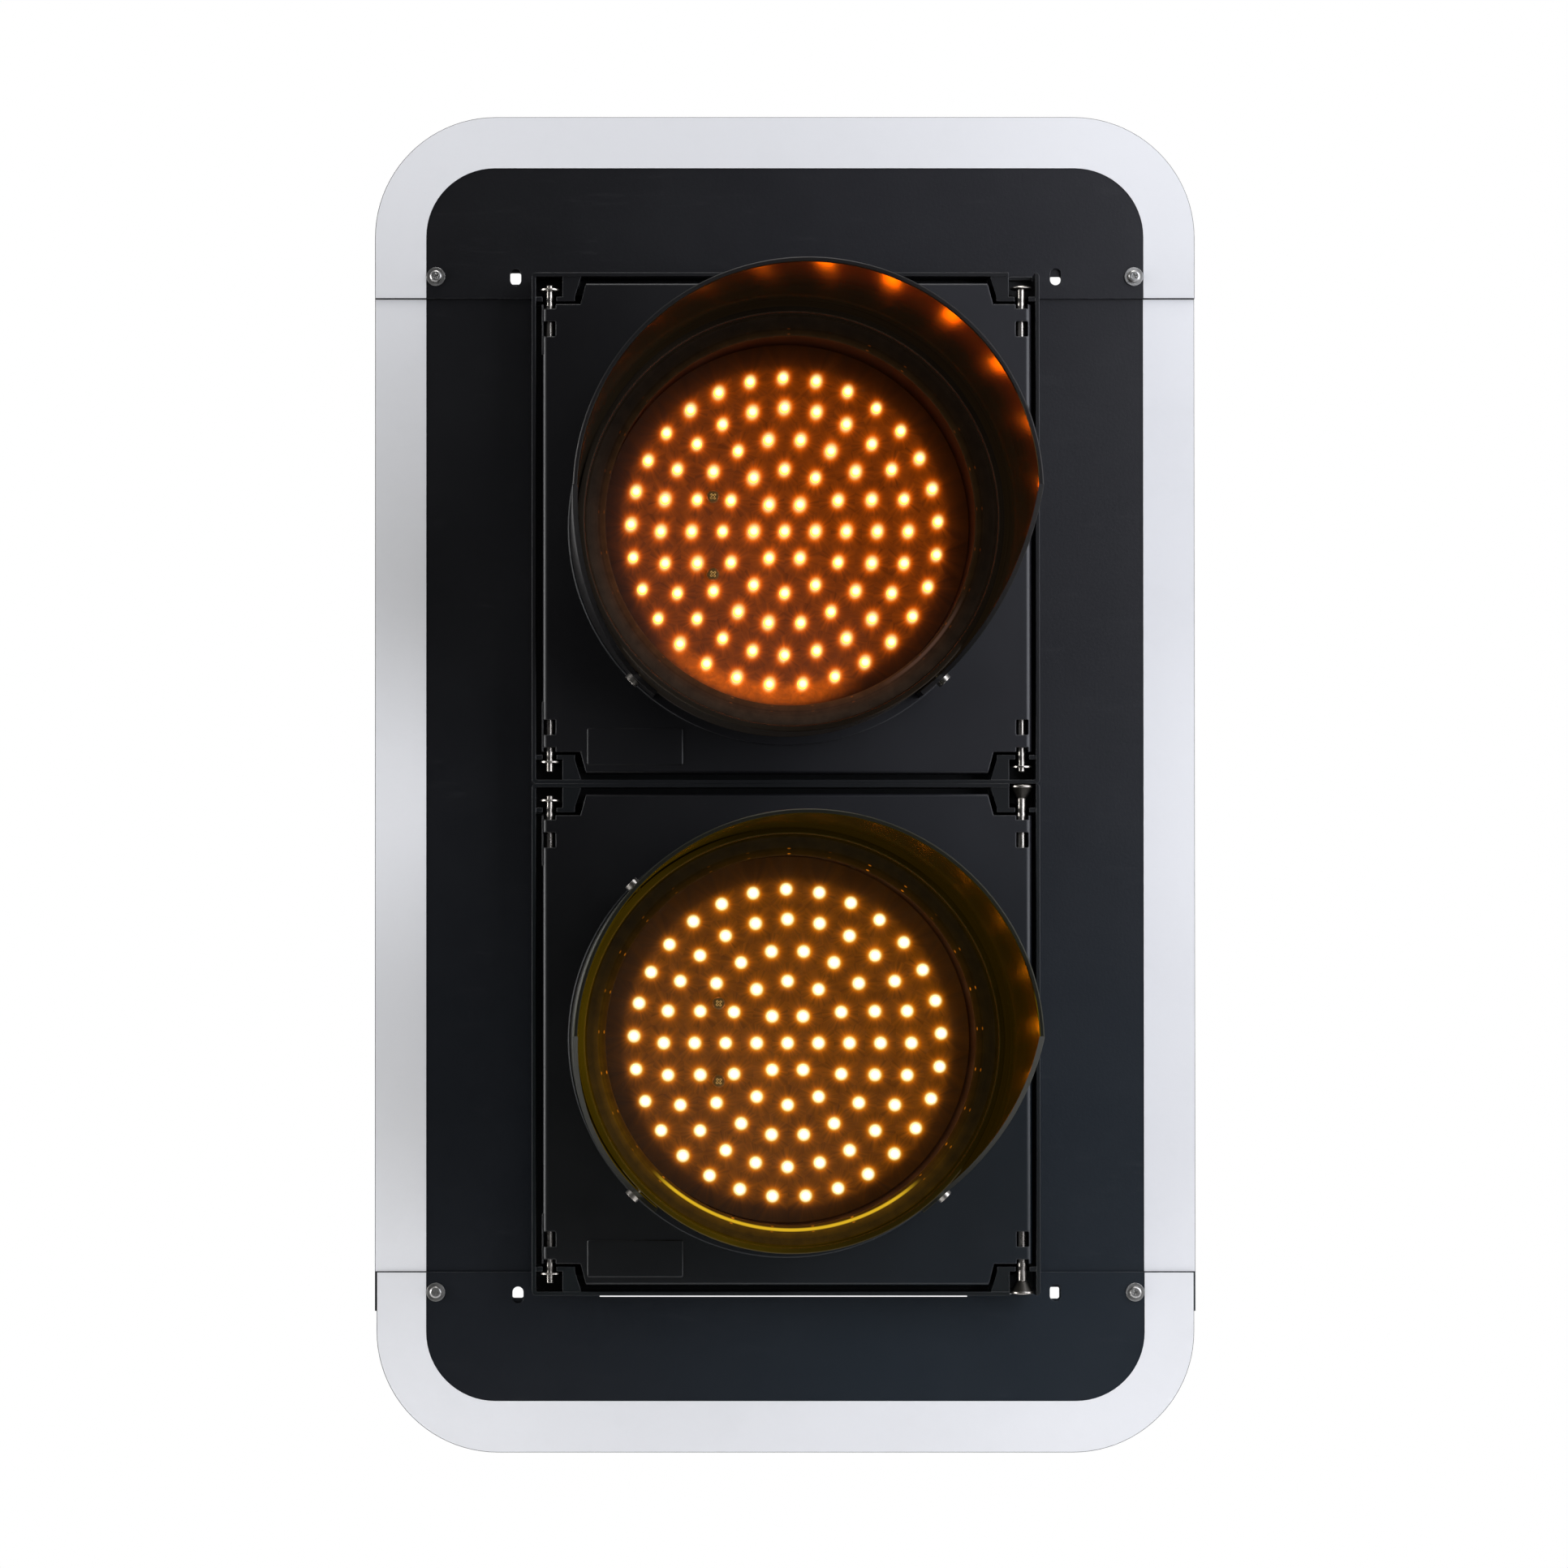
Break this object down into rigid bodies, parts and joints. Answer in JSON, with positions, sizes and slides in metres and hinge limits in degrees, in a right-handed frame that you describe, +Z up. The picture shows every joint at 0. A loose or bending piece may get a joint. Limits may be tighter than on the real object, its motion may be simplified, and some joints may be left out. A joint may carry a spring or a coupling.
{
  "type": "traffic signal head",
  "caption": "Street signal head with round LED aspects in stacked modules, cutaway visors, hinged doors and a white-bordered backing board.",
  "frame": {"origin": "centre of the bottom bracket bore, on the underside of the lower housing", "axes": "+Z up along the bracket bores, -Y towards the road user, +X to the right as the road user sees it"},
  "size_m": [0.445, 0.283, 0.7246],
  "materials": {
    "housing_plastic": "moulded black polycarbonate, fine semi-matte",
    "door_plastic": "moulded black polycarbonate, fine semi-matte",
    "visor_plastic": "black polycarbonate, semi-gloss",
    "board_paint": "black powder coat, matte",
    "reflective_film": "white retroreflective sheeting",
    "zinc_steel": "zinc plated steel",
    "stainless": "stainless steel, turned",
    "brass": "brass screws",
    "rubber": "black EPDM",
    "bezel_plastic": "black lamp bezel, semi-gloss",
    "lens_clear": "clear polycarbonate lens",
    "led_orange": "lit amber LED",
    "led_yellow": "lit yellow-amber LED",
    "holder_plastic": "black LED holder plate",
    "board_green": "dark solder mask",
    "lamp_plastic": "dark grey lamp body",
    "terminal_plastic": "light grey terminal plastic"
  },
  "bodies": {
    "housing": {"board_bottom_cap": "board_paint", "board_brackets": "zinc_steel", "board_left_panel": "board_paint", "board_nuts": "stainless", "board_right_panel": "board_paint", "board_screws": "stainless", "board_top_cap": "board_paint", "board_washers": "stainless", "border_film_bottom": "reflective_film", "border_film_left": "reflective_film", "border_film_right": "reflective_film", "border_film_top": "reflective_film", "bracket_nuts": "stainless", "bracket_screws": "stainless", "coupling_nuts": "zinc_steel", "coupling_seal": "rubber", "coupling_tube": "zinc_steel", "coupling_washers": "zinc_steel", "lower_housing": "housing_plastic", "terminal_block": "terminal_plastic", "terminal_screws": "brass", "upper_housing": "housing_plastic"},
    "upper_door": {"upper_door": "door_plastic", "upper_door_gasket": "rubber", "upper_lamp_gasket": "rubber", "upper_lamp_shell": "lamp_plastic", "upper_lamp_clamps": "stainless", "upper_clamp_screws": "stainless", "upper_led_board": "board_green", "upper_led_holder": "holder_plastic", "upper_pcb_screws": "stainless", "upper_leds": "led_orange", "upper_lamp_connector": "terminal_plastic", "upper_lens": "lens_clear", "upper_bezel": "bezel_plastic", "upper_visor": "visor_plastic", "upper_visor_screws": "stainless", "upper_hinge_pins": "stainless", "upper_keeper_pin": "stainless", "upper_pin_clips": "stainless"},
    "lower_door": {"lower_door": "door_plastic", "lower_door_gasket": "rubber", "lower_lamp_gasket": "rubber", "lower_lamp_shell": "lamp_plastic", "lower_lamp_clamps": "stainless", "lower_clamp_screws": "stainless", "lower_led_board": "board_green", "lower_led_holder": "holder_plastic", "lower_pcb_screws": "stainless", "lower_leds": "led_yellow", "lower_lamp_connector": "terminal_plastic", "lower_lens": "lens_clear", "lower_bezel": "bezel_plastic", "lower_visor": "visor_plastic", "lower_visor_screws": "stainless", "lower_hinge_pins": "stainless", "lower_pin_clips": "stainless"},
    "upper_latch": {"upper_latch_pin": "stainless"},
    "lower_latch_top": {"lower_latch_pin_top": "stainless"},
    "lower_latch_bottom": {"lower_latch_pin_bottom": "stainless"}
  },
  "joints": [
    {"name": "upper_door_hinge", "type": "hinge", "parent": "housing", "child": "upper_door", "pos_m": [-0.127, -0.0595, 0.4125], "axis": [0, 0, -1], "range_deg": [0, 100]},
    {"name": "lower_door_hinge", "type": "hinge", "parent": "housing", "child": "lower_door", "pos_m": [-0.127, -0.0595, 0.1375], "axis": [0, 0, -1], "range_deg": [0, 100]},
    {"name": "upper_latch_turn", "type": "hinge", "parent": "upper_door", "child": "upper_latch", "pos_m": [0.127, -0.0595, 0.53], "axis": [0, 0, 1], "range_deg": [0, 90]},
    {"name": "lower_latch_top_turn", "type": "hinge", "parent": "lower_door", "child": "lower_latch_top", "pos_m": [0.127, -0.0595, 0.255], "axis": [0, 0, 1], "range_deg": [0, 90]},
    {"name": "lower_latch_bottom_turn", "type": "hinge", "parent": "lower_door", "child": "lower_latch_bottom", "pos_m": [0.127, -0.0595, 0.02], "axis": [0, 0, 1], "range_deg": [0, 90]}
  ]
}
